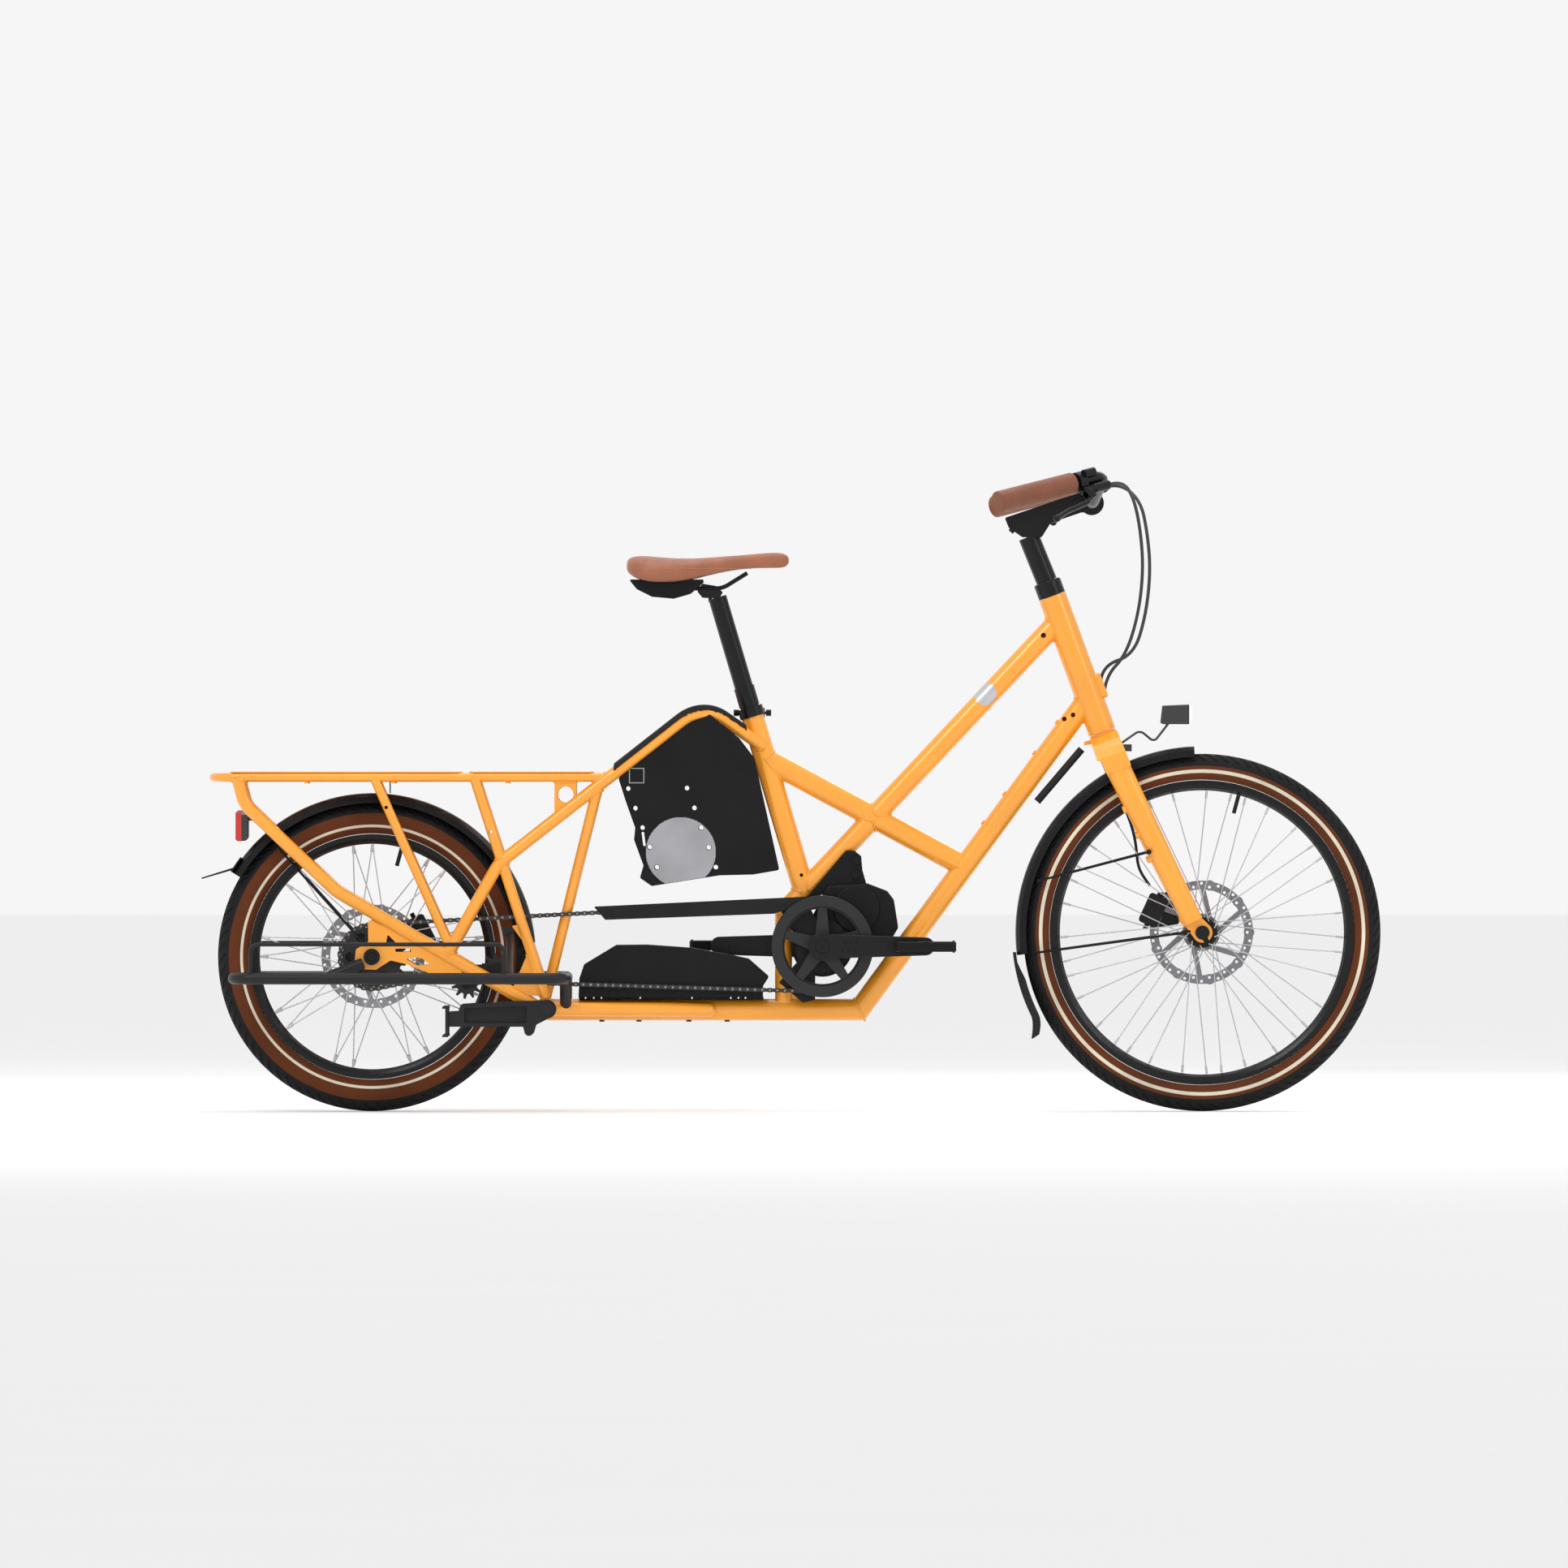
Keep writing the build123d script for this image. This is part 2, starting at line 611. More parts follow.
def offset_strip(middle, half):
    """A strip of even width either side of a line."""
    return trace(middle, 2 * half)


def make_pads():
    pads = []
    for side in (-1, 1):
        y = side * RACK_HALF_WIDTH
        outer = pipe(loop_points(side), [59, 60], LOOP_DIAMETER + 8)
        inner = pipe(loop_points(side), [59, 60], LOOP_DIAMETER + 0.1)
        sleeve = outer - inner
        shell = (
            (-302, 585),
            (-292, 597),
            (-215, 656),
            (-170, 692),
            (-140, 702),
            (-118, 690),
            (-76, 655),
            (-70, 648),
            (-70, 760),
            (-310, 760),
            (-310, 592),
        )
        keep = slab(outline(shell, 0), min(0, 2 * y), max(0, 2 * y))
        pads.append(biggest(sleeve & keep))
    node("loop_pads", pads)


# ---- drive ----------------------------------------------------------------
CHAIN_PITCH = 12.7
CHAINRING_TEETH = 38
SPROCKET_TEETH = 27
PULLEY_TEETH = 11
FRONT_PULLEY = (-501.0, 243.0)  # the chain runs under it
REAR_PULLEY = (-552.0, 218.0)  # the chain runs over it
CHAIN_HEIGHT = 8.4
CHAIN_WIDTH = 6.6


def pitch_radius(teeth):
    return CHAIN_PITCH / (2 * sin(pi / teeth))


def toothed(centre, teeth, y_low, y_high, bore):
    """A chain wheel: its tooth gaps are round and seat the rollers."""
    radius = pitch_radius(teeth)
    tip = radius + 4.2
    root = radius - 3.9
    step = 360 / teeth
    points = []
    for i in range(teeth):
        for share, reach in ((-0.32, root), (-0.12, tip), (0.12, tip), (0.32, root)):
            points.append(polar(centre, reach, (i + share) * step))
    wheel = plate(points, y_low, y_high)
    return wheel - disc(centre, bore, -200, 200)


def chain_route():
    """Centre line of the chain: (wheel centre, pitch radius, turning sense) in order of travel."""
    gap = 0.2
    return (
        (REAR_AXLE, pitch_radius(SPROCKET_TEETH) + gap, 1),
        (CRANK_AXLE, pitch_radius(CHAINRING_TEETH) + gap, 1),
        (FRONT_PULLEY, pitch_radius(PULLEY_TEETH) + gap, 1),
        (REAR_PULLEY, pitch_radius(PULLEY_TEETH) + gap, -1),
    )


def tangent_points(first, second):
    """Where a belt leaves one wheel and reaches the next, running clockwise seen from the right."""
    (c1, r1, s1), (c2, r2, s2) = first, second
    dx, dz = c2[0] - c1[0], c2[1] - c1[1]
    distance = hypot(dx, dz)
    base = atan2(dz, dx)
    lean = (s1 * r1 - s2 * r2) / distance
    normal = base + (pi / 2 - asin_safe(lean))
    n = (cos(normal), sin(normal))
    leave = (c1[0] + s1 * r1 * n[0], c1[1] + s1 * r1 * n[1])
    reach = (c2[0] + s2 * r2 * n[0], c2[1] + s2 * r2 * n[1])
    return leave, reach


def asin_safe(value):
    return atan2(value, sqrt(1 - value * value))


def chain_centre_line():
    wheels = chain_route()
    count = len(wheels)
    spans = [tangent_points(wheels[i], wheels[(i + 1) % count]) for i in range(count)]
    edges = []
    for i in range(count):
        centre, radius, sense = wheels[i]
        arrive = spans[i - 1][1]
        leave = spans[i][0]
        start = atan2(arrive[1] - centre[1], arrive[0] - centre[0])
        end = atan2(leave[1] - centre[1], leave[0] - centre[0])
        swing = (start - end) % (2 * pi) if sense > 0 else -((end - start) % (2 * pi))
        middle = start - swing / 2
        via = (centre[0] + radius * cos(middle), centre[1] + radius * sin(middle))
        edges.append(ThreePointArc(arrive, via, leave))
        edges.append(Line(leave, spans[i][1]))
    return edges


def make_chain():
    line = Wire([e for piece in chain_centre_line() for e in piece.edges()])
    outer = make_face(line.offset_2d(CHAIN_HEIGHT / 2))
    inner = make_face(line.offset_2d(-CHAIN_HEIGHT / 2))
    half = CHAIN_WIDTH / 2
    loop = slab(outer - inner, CHAIN_PLANE - half, CHAIN_PLANE + half)
    groove = 1.3
    for centre, teeth in (
        (REAR_AXLE, SPROCKET_TEETH),
        (CRANK_AXLE, CHAINRING_TEETH),
        (FRONT_PULLEY, PULLEY_TEETH),
        (REAR_PULLEY, PULLEY_TEETH),
    ):
        reach = pitch_radius(teeth) + 4.6
        loop -= disc(centre, reach, CHAIN_PLANE - groove, CHAIN_PLANE + groove)
        for low, high in ((-60, CHAIN_PLANE - groove), (CHAIN_PLANE + groove, -40)):
            loop -= disc(centre, pitch_radius(teeth) - 3.6, low, high)
    node("chain", biggest(loop))


def make_drive():
    tooth_half = 0.9
    inboard, outboard = CHAIN_PLANE + tooth_half, CHAIN_PLANE - tooth_half
    ring = toothed(CRANK_AXLE, CHAINRING_TEETH, outboard, inboard, 64)
    spider = disc(CRANK_AXLE, 24, -66, -52.5)
    spacers = []
    heads = []
    for i in range(5):
        angle = 72 * i + 18
        tip = polar(CRANK_AXLE, 68.5, angle)
        spider += web_between(CRANK_AXLE, tip, 14, 7, -60.5, -56.5)
        spacers.append(disc(tip, 4, -56.5, outboard))
        heads.append(disc(polar(CRANK_AXLE, 72.0, angle), 4, -65.0, -63.5))
    spider -= disc(CRANK_AXLE, 12.05, -100, 0)
    guard = disc(CRANK_AXLE, 86.5, -63.5, -60.5, 67)
    guard = chamfer(guard.edges().filter_by(GeomType.CIRCLE).sort_by(Axis.Y)[:2], 0.8)
    node("chainring", ring, biggest(spider), guard, spacers, heads)

    spindle = disc(CRANK_AXLE, 12, -90, 90)
    right_end = (CRANK_AXLE[0] + CRANK_LENGTH, CRANK_AXLE[1])
    left_end = (CRANK_AXLE[0] - CRANK_LENGTH, CRANK_AXLE[1])
    axles = [
        disc(right_end, 7, -93, -78) + disc(right_end, 5, -192, -78),
        disc(left_end, 7, 78, 93) + disc(left_end, 5, 78, 192),
    ]
    arms = []
    for side in (-1, 1):
        way = -side
        far = (CRANK_AXLE[0] + way * CRANK_LENGTH, CRANK_AXLE[1])
        low, high = sorted((side * 79.0, side * 92.0))
        arm = web_between(CRANK_AXLE, far, 21, 15.5, low, high)
        arm += disc(CRANK_AXLE, 24, low, high)
        arm = fillet(arm.faces().filter_by(Axis.Y).edges(), 2.2)
        for share, drop in ((38, 6.5), (47, 6.5), (58, 6.5), (34, -6.5), (44, -6.5), (55, -6.5)):
            spot = (CRANK_AXLE[0] + way * share, CRANK_AXLE[1] + drop)
            face = side * 92.0
            pocket = sorted((face - side * 3, face + side * 5))
            arm -= disc(spot, 2.4, *pocket)
        groove_low, groove_high = sorted((side * 89.5, side * 97.0))
        groove = web_between(
            (CRANK_AXLE[0] + way * 118, CRANK_AXLE[1]),
            (CRANK_AXLE[0] + way * 146, CRANK_AXLE[1]),
            8.5,
            8.5,
            groove_low,
            groove_high,
        )
        arm -= groove
        arm = cut(arm, disc(CRANK_AXLE, 12.0, -100, 100), disc(far, 7.0, -200, 200))
        arms.append(biggest(arm))
    bolts = [disc(CRANK_AXLE, 11, -94, -90.0), disc(CRANK_AXLE, 11, 90.0, 94)]
    sockets = [disc(CRANK_AXLE, 4, -95, -91.5), disc(CRANK_AXLE, 4, 91.5, 95)]
    bolts = [b - s for b, s in zip(bolts, sockets)]
    node("crank_arms", arms, spindle, axles, bolts)

    make_pedal("pedal_right", right_end, -1)
    make_pedal("pedal_left", left_end, 1)
    sprocket = toothed(REAR_AXLE, SPROCKET_TEETH, outboard, inboard, 24)
    for i in range(6):
        sprocket -= disc(polar(REAR_AXLE, 38, 60 * i), 7.5, -100, 0)
    driver = disc(REAR_AXLE, 27, -57.9, inboard, 14)
    driver = driver - sprocket
    node("rear_sprocket", sprocket, biggest(driver))
    for name, centre in (("front_pulley", FRONT_PULLEY), ("rear_pulley", REAR_PULLEY)):
        pulley = toothed(centre, PULLEY_TEETH, outboard, inboard, 5.05)
        pulley += disc(centre, 10, CHAIN_PLANE - 3, CHAIN_PLANE + 3, 5.05)
        node(name, pulley)


def make_pedal(name, centre, side):
    """A platform pedal: an open frame round a barrel, with grip studs on both faces."""
    x, z = centre
    y_in, y_out = side * 96.0, side * 195.0
    low, high = min(y_in, y_out), max(y_in, y_out)
    frame = box_between((x - 51.5, low, z - 8.5), (x + 51.5, high, z + 8.5))
    frame = fillet(frame.edges().filter_by(Axis.Z), 14)
    frame = chamfer(frame.faces().filter_by(Axis.Z).edges(), 1.5)
    for way in (-1, 1):
        a, b = x + way * 13.0, x + way * 43.0
        frame -= box_between((min(a, b), low + 9, z - 20), (max(a, b), high - 9, z + 20))
        spar = box_between((x + way * 28 - 2, low + 5, z - 6), (x + way * 28 + 2, high - 5, z + 6))
        frame += spar
    frame += disc(centre, 9.5, low, high)
    mouth, bottom = side * 90.0, side * 193.0
    frame -= disc(centre, 5.05, min(mouth, bottom), max(mouth, bottom))
    studs = []
    for way in (-1, 1):
        for share in (0.12, 0.5, 0.88):
            y = low + (high - low) * share
            studs.append(rod((x + way * 47.3, y, z - 10), (x + way * 47.3, y, z + 10), 4))
    frame = frame + studs
    node(name, biggest(frame))


def web_between(a, b, half_a, half_b, y_low, y_high):
    """A flat link with round ends of two sizes."""
    length = hypot(b[0] - a[0], b[1] - a[1])
    ux, uz = (b[0] - a[0]) / length, (b[1] - a[1]) / length
    nx, nz = -uz, ux
    corners = (
        (a[0] + nx * half_a, a[1] + nz * half_a),
        (b[0] + nx * half_b, b[1] + nz * half_b),
        (b[0] - nx * half_b, b[1] - nz * half_b),
        (a[0] - nx * half_a, a[1] - nz * half_a),
    )
    link = plate(corners, y_low, y_high)
    return link + disc(a, half_a, y_low, y_high) + disc(b, half_b, y_low, y_high)


def make_tensioner():
    inner = web_between(FRONT_PULLEY, REAR_PULLEY, 9, 9, -44.5, -42.5)
    outer = web_between(FRONT_PULLEY, REAR_PULLEY, 9, 9, -57.5, -55.5)
    pins = []
    for centre in (FRONT_PULLEY, REAR_PULLEY):
        pin = disc(centre, 5, -59.5, -39.5)
        pins.append(pin)
    sides = [cut(inner, *pins), cut(outer, *pins)]
    post = disc((-525.2, 240.0), 6, -68.0, -57.5)
    bridge = plate(
        ((-540, 229), (-516, 229), (-516, 250), (-540, 250)), -68.0, -65.0, 3
    )
    post = cut(post, bridge)
    stay_outer = pipe(stay_points(-1), [48, 90], STAY_DIAMETER)
    bridge = biggest(cut(bridge, stay_outer))
    node("tensioner_arm", [biggest(s) for s in sides], pins, biggest(cut(post, stay_outer)), bridge)


def make_chain_guard():
    bar = (
        (-336.7, 348.3),
        (-317.0, 325.7),
        (-29.8, 336.0),
        (20.0, 352.0),
        (34.5, 365.5),
        (-20.0, 363.0),
    )
    sheet = plate(bar, -58.5, -56.5, 1.5)
    roof_points = ((-334, 348.4), (34.0, 365.6), (34.0, 363.4), (-334, 346.2))
    roof = plate(roof_points, -57.0, -43)
    sheet -= disc((-308.3, 338), 2.5, -100, 0)
    screw = disc((-308.3, 338), 2.5, -58.5, -54.8) + disc((-308.3, 338), 4, -60, -58.5)
    backing = disc(CRANK_AXLE, 46, -45, -43) + disc(CRANK_AXLE, 29, -45, MOTOR_FACE)
    riser = plate(((10, 290), (-30, 361.5), (20, 364), (52, 310)), -45, -43)
    tail_points = ((16, 262), (-22, 219.4), (18.5, 184.9), (39.6, 190), (40, 250))
    tail = plate(tail_points, -45, -43, 1)
    whole = sheet + roof + backing + riser + tail
    whole -= disc(CRANK_AXLE, 16, -60, -30)
    node("chain_guard", biggest(whole), screw)


# ---- wheels ---------------------------------------------------------------
FRONT_ROTOR_Y = 38.0
REAR_ROTOR_Y = 50.0
ROTOR_RADIUS = 90.0
SPOKE_COUNT = 36


def rim_profile(inner, bead):
    side = 15.0
    lip = bead + 5.5
    half = (
        (inner, 5),
        (inner + 4, 12),
        (lip - 8, side),
        (lip, side),
        (lip, side - 2),
        (bead - 2, side - 3.2),
        (bead - 5, 9),
        (bead - 7, 4),
    )
    return half + tuple((r, -y) for r, y in reversed(half))


def make_tyre(name, centre, radius, width, bead):
    """A tyre's round casing, open towards the rim, with its two beads."""
    half = width / 2
    middle = radius - half
    edge = bead + 5.9
    skin = half - 4.5
    y_out = sqrt(half**2 - (middle - edge) ** 2)
    y_in = sqrt(skin**2 - (middle - 1 - edge) ** 2)
    casing = ThreePointArc((edge, y_out), (radius, 0), (edge, -y_out))
    hollow = ThreePointArc((edge, y_in), (middle - 1 + skin, 0), (edge, -y_in))
    feet = []
    for side in (-1, 1):
        feet.append(
            Polyline(
                (edge, side * y_out),
                (edge, side * 12.3),
                (bead, side * 11.5),
                (bead, side * 7.5),
                (edge, side * y_in),
            )
        )
    face = make_face([casing, hollow] + feet)
    solid = Pos(centre[0], 0, centre[1]) * revolve(face, axis=Axis.Y)
    node(name, solid)


def make_rim(name, centre, inner, bead):
    """A rim with a well, two side walls that hold the bead, and its valve."""
    rim = turned(centre, rim_profile(inner, bead))
    valve_angle = 75
    foot = polar(centre, inner - 32, valve_angle)
    top = polar(centre, inner - 0.2, valve_angle)
    valve = rod(at(foot), at(top), 7)
    node(name, rim, valve)


def make_spokes(name, centre, rim_inner, flange_radius, flange_y, cross):
    """Spokes laced from the hub flanges to the rim, leading and trailing in turn."""
    spokes = []
    per_side = SPOKE_COUNT // 2
    step = 360 / per_side
    for side in (-1, 1):
        phase = 0 if side < 0 else step / 2
        for i in range(per_side):
            lead = 1 if i % 2 else -1
            hub_angle = phase + step * i
            rim_angle = hub_angle + lead * cross
            y_hub = side * (flange_y + 0.9 + lead * 3.4)
            start = polar(centre, flange_radius, hub_angle)
            end = polar(centre, rim_inner - 0.9, rim_angle)
            spokes.append(rod(at(start, y_hub), at(end, side * 3.2), 2.0))
            neck = along(end, start, 13)
            share = 13 / hypot(end[0] - start[0], end[1] - start[1])
            y_neck = side * 3.2 + (y_hub - side * 3.2) * share
            nipple = rod(at(end, side * 3.2), at(neck, y_neck), 4.0)
            spokes[-1] = spokes[-1] + nipple
    node(name, spokes)


def make_hub(name, centre, half_length, core, flange_radius, flange_y):
    """Hub shell with two spoke flanges, bored for its bearings and axle."""
    profile = (
        (7.0, -half_length),
        (core - 3, -half_length),
        (core - 3, -flange_y - 1.3),
        (flange_radius + 4.2, -flange_y - 1.3),
        (flange_radius + 4.2, -flange_y + 1.3),
        (core - 3, -flange_y + 1.3),
        (core - 3, flange_y - 1.3),
        (flange_radius + 4.2, flange_y - 1.3),
        (flange_radius + 4.2, flange_y + 1.3),
        (core - 3, flange_y + 1.3),
        (core - 3, half_length),
        (7.0, half_length),
    )
    hub = turned(centre, profile)
    for low, high in ((-half_length - 1, -half_length + 7), (half_length - 7, half_length + 1)):
        hub -= disc(centre, 11, low, high)
    bearings = []
    for low, high in (
        (-half_length + 0.2, -half_length + 7),
        (half_length - 7, half_length - 0.2),
    ):
        bearings.append(disc(centre, 11, low, high, 6.05))
    node(name, hub, bearings)


def make_rotor(name, centre, y, spokes_inner):
    """Brake rotor with a wavy rim, round holes and curved arms."""
    rim = disc(centre, ROTOR_RADIUS - 2, y - 0.9, y + 0.9, ROTOR_RADIUS - 17)
    lobes = [disc(polar(centre, ROTOR_RADIUS - 9, 40 * i), 9, y - 0.9, y + 0.9) for i in range(9)]
    rim = rim + lobes
    holes = []
    for i in range(36):
        reach = ROTOR_RADIUS - (6.5 if i % 2 else 12)
        holes.append(disc(polar(centre, reach, 10 * i), 2.5, y - 2, y + 2))
    rim = rim - holes
    arms = []
    for i in range(6):
        a = polar(centre, spokes_inner + 5, 60 * i)
        b = polar(centre, ROTOR_RADIUS - 15.5, 60 * i + 28)
        arms.append(web_between(a, b, 5, 4, y - 0.9, y + 0.9))
    centre_plate = disc(centre, spokes_inner + 10, y - 0.9, y + 0.9)
    rotor = rim + arms + centre_plate
    rotor -= disc(centre, spokes_inner - 4, y - 2, y + 2)
    bolts = []
    for i in range(6):
        spot = polar(centre, spokes_inner + 3, 60 * i + 30)
        bolts.append(disc(spot, 3.5, y + 0.9, y + 3))
    node(name, biggest(rotor), bolts)


# ---- steering -------------------------------------------------------------
BLADE_TOP = (554.3, 582.4)
BLADE_END = (682.0, 322.0)
BLADE_Y = 57.0
COLUMN_TOP = (403.0, 977.0)
BAR_CLAMP = (510.0, 1034.0)
BAR_DIAMETER = 22.2
GRIP_INNER = (474.7, 215.0, 1064.8)
GRIP_OUTER = (347.3, 306.0, 1031.4)
GRIP_DIAMETER = 38.0
HEAD_WAY = (at(HEAD_BOTTOM) - at(HEAD_TOP)).normalized()
HEAD_FORWARD = Vector(-HEAD_WAY.Z, 0, HEAD_WAY.X)


def by_head(forward, down, y=0.0):
    """A point given by distances forward of the head axis and down from the head tube's foot."""
    return at(HEAD_BOTTOM, y) + HEAD_FORWARD * forward + HEAD_WAY * down


def side_view(vector):
    return (vector.X, vector.Z)


def make_fork():
    side = [
        by_head(-24, 3.4),
        by_head(24, 3.4),
        by_head(26, 70),
        by_head(-18, 70),
        by_head(-19, 46),
        by_head(-25, 43),
    ]
    profile = plate([side_view(p) for p in side], -75, 75, 3)
    front_plane = Plane(origin=by_head(-60, 0), x_dir=(0, 1, 0), z_dir=HEAD_FORWARD)
    front_points = (
        (-24, -3.4),
        (24, -3.4),
        (34, -6),
        (52, -17),
        (64, -29),
        (70, -42),
        (71, -54),
        (71, -70),
        (43, -70),
        (41, -56),
        (36, -47),
        (27, -43),
        (-27, -43),
        (-36, -47),
        (-41, -56),
        (-43, -70),
        (-71, -70),
        (-71, -54),
        (-70, -42),
        (-64, -29),
        (-52, -17),
        (-34, -6),
    )
    front = make_face(Polyline(*front_points, close=True))
    crown = profile & extrude(front_plane * front, 120)
    race = rod(by_head(0, 0.5), by_head(0, 3.4), 46)
    top = at(along(HEAD_TOP, HEAD_BOTTOM, -40))
    steerer = rod(top, by_head(0, 8), STEERER_DIAMETER, 24)
    crown = crown - rod(by_head(0, 0), by_head(0, 8), STEERER_DIAMETER)
    race = race - rod(by_head(0, 0), by_head(0, 8), STEERER_DIAMETER)
    blades = []
    way = (at(BLADE_END) - at(BLADE_TOP)).normalized()
    for s in (-1, 1):
        start = at(BLADE_TOP, s * BLADE_Y) - way * 4
        end = at(BLADE_END, s * (BLADE_Y - 1))
        wide = Plane(origin=start, x_dir=(0, 1, 0), z_dir=way) * Ellipse(13.8, 21.5)
        narrow = Plane(origin=end, x_dir=(0, 1, 0), z_dir=way) * Ellipse(11.5, 17)
        blade = loft([wide, narrow])
        inner, outer = sorted((s * 50.0, s * 57.5))
        tip = web_between(BLADE_END, FRONT_AXLE, 15, 17, inner, outer)
        tip += web_between(BLADE_END, along(BLADE_END, FRONT_AXLE, -12), 15, 17, inner, outer)
        slot_end = (FRONT_AXLE[0] + 12, FRONT_AXLE[1] - 26)
        tip -= web_between(FRONT_AXLE, slot_end, 4.6, 4.6, -100, 100)
        blade = blade + tip
        for spot, size in (((612.0, 430.0), 11), ((592.0, 471.0), 11), ((570.0, 515.0), 13)):
            edge = Vector(spot[0], s * BLADE_Y, spot[1])
            blade += rod(edge - Vector(8, 0, 3), edge + Vector(14, 0, 5), size)
        blade = cut(blade, crown)
        blade = cut(blade, disc((675.0, 306.0), 2.5, -100, 100))
        blades.append(biggest(blade))
    damper_tab = plate(
        ((497, 622), (497, 628), (513, 633), (515, 625)), -4, 4
    )
    damper_tab = biggest(cut(damper_tab, crown))
    node("fork", crown, race, steerer, blades, damper_tab)
    axle = disc(FRONT_AXLE, 4.5, -66, 66)
    nuts = []
    for low, high in ((-66.0, -57.6), (57.6, 66.0)):
        nut = disc(FRONT_AXLE, 12, low, high) - disc(FRONT_AXLE, 4.5, -100, 100)
        nuts.append(nut)
    cones = []
    for low, high in ((-49.9, -45.2), (45.2, 49.9)):
        cones.append(disc(FRONT_AXLE, 10, low, high) - disc(FRONT_AXLE, 4.5, -100, 100))
    sleeve = disc(FRONT_AXLE, 6, -45.2, 45.2) - disc(FRONT_AXLE, 4.5, -100, 100)
    node("front_axle", axle, nuts, cones, sleeve)


def make_stem():
    low = at(along(HEAD_TOP, HEAD_BOTTOM, -0.5))
    high = at(along(HEAD_TOP, HEAD_BOTTOM, -27))
    collar = rod(low, high, 47, STEERER_DIAMETER + 0.1)
    collar = chamfer(collar.edges().filter_by(GeomType.CIRCLE).sort_by(Axis.Z)[-2:], 2)
    column = rod(high, at(COLUMN_TOP), 36)
    top = at(along(HEAD_TOP, HEAD_BOTTOM, -40))
    column -= rod(low, top + (top - low).normalized() * 0.2, STEERER_DIAMETER + 0.1)
    side = (
        (362.0, 1009.0),
        (369.0, 992.0),
        (392.0, 976.0),
        (425.0, 976.0),
        (440.0, 1000.0),
        (492.0, 1018.0),
        (499.0, 1018.0),
        (497.0, 1052.0),
        (481.0, 1049.5),
    )
    arm = plate(side, -17, 17, 3)
    clamp = disc(BAR_CLAMP, 20.5, -22, 22)
    arm = biggest(arm + clamp)
    arm -= disc(BAR_CLAMP, 15.9, -60, 60)
    arm = biggest(cut(arm, column))
    knob = rod((372, -8, 985), (384, -8, 999), 10) + rod((372, 8, 985), (384, 8, 999), 10)
    bolts = [biggest(cut(k, arm, column)) for k in knob.solids()]
    node("stem", collar, column, arm, bolts)
    points = [
        grip_end(-1),
        bar_bend(-1),
        (BAR_CLAMP[0] + 1, -62, BAR_CLAMP[1] + 3),
        (BAR_CLAMP[0], -30, BAR_CLAMP[1]),
        (BAR_CLAMP[0], 30, BAR_CLAMP[1]),
        (BAR_CLAMP[0] + 1, 62, BAR_CLAMP[1] + 3),
        bar_bend(1),
        grip_end(1),
    ]
    bar = pipe(points, [38, 60, 40, 40, 60, 38], BAR_DIAMETER, 18.5)
    sleeve = disc(BAR_CLAMP, 15.85, -26, 26)
    sleeve -= disc(BAR_CLAMP, BAR_DIAMETER / 2, -60, 60)
    node("handlebar", bar, sleeve)


def grip_way(side):
    inner = Vector(GRIP_INNER[0], side * GRIP_INNER[1], GRIP_INNER[2])
    outer = Vector(GRIP_OUTER[0], side * GRIP_OUTER[1], GRIP_OUTER[2])
    return inner, (outer - inner).normalized(), (outer - inner).length


def bar_bend(side):
    inner, way, _ = grip_way(side)
    return inner - way * 66


def grip_end(side):
    inner, way, length = grip_way(side)
    return inner + way * (length - 3)


def make_controls():
    grips, perches = [], []
    for side in (-1, 1):
        inner, way, length = grip_way(side)
        grip = rod(inner, inner + way * length, GRIP_DIAMETER)
        grip = fillet(grip.edges().filter_by(GeomType.CIRCLE), 3)
        grip -= rod(inner - way, inner + way * (length - 2.9), BAR_DIAMETER)
        grips.append(grip)
        reach, axis = control_directions(side)
        clamp_from = inner - way * 22
        clamp = rod(clamp_from, clamp_from + way * 15, 34)
        pivot = lever_pivot(side)
        middle = clamp_from + way * 7 + reach * 20
        body = rod(middle - way * 46, middle + way * 6, 17)
        body += Pos(middle - way * 46) * Sphere(8.5)
        neck = rod(clamp_from + way * 7, middle, 15)
        cheek = rod(middle, pivot + reach * 5, 18.5)
        ring = inner - way * 40 - reach * 2 + axis * 17
        adjuster = rod(ring, ring + way * 22, 15)
        perch = clamp + body + neck + cheek + adjuster
        perch += rod(clamp_from + way * 7, ring + way * 11, 10)
        slot = rod(pivot - axis * 5.6, pivot + axis * 5.6, 30)
        perch = cut(perch, slot)
        perch = cut(perch, rod(inner - way * 70, inner, BAR_DIAMETER))
        perch = cut(perch, rod(pivot - axis * 20, pivot + axis * 20, 5))
        perches.append(biggest(perch))
        pin = rod(pivot - axis * 9.5, pivot + axis * 9.5, 5)
        perches.append(pin)
        lever = lever_solid(side)
        node("brake_lever_right" if side < 0 else "brake_lever_left", lever)
    node("grips", grips)
    node("lever_perches", perches)


def control_directions(side):
    """The way from the bar to the lever's pivot, and the pivot's axis."""
    _, way, _ = grip_way(side)
    lean = Vector(0.52, side * 0.42, -0.74)
    reach = (lean - way * lean.dot(way)).normalized()
    axis = way.cross(reach).normalized()
    return reach, axis


def lever_pivot(side):
    inner, way, _ = grip_way(side)
    reach, _ = control_directions(side)
    return inner - way * 20 + reach * 33


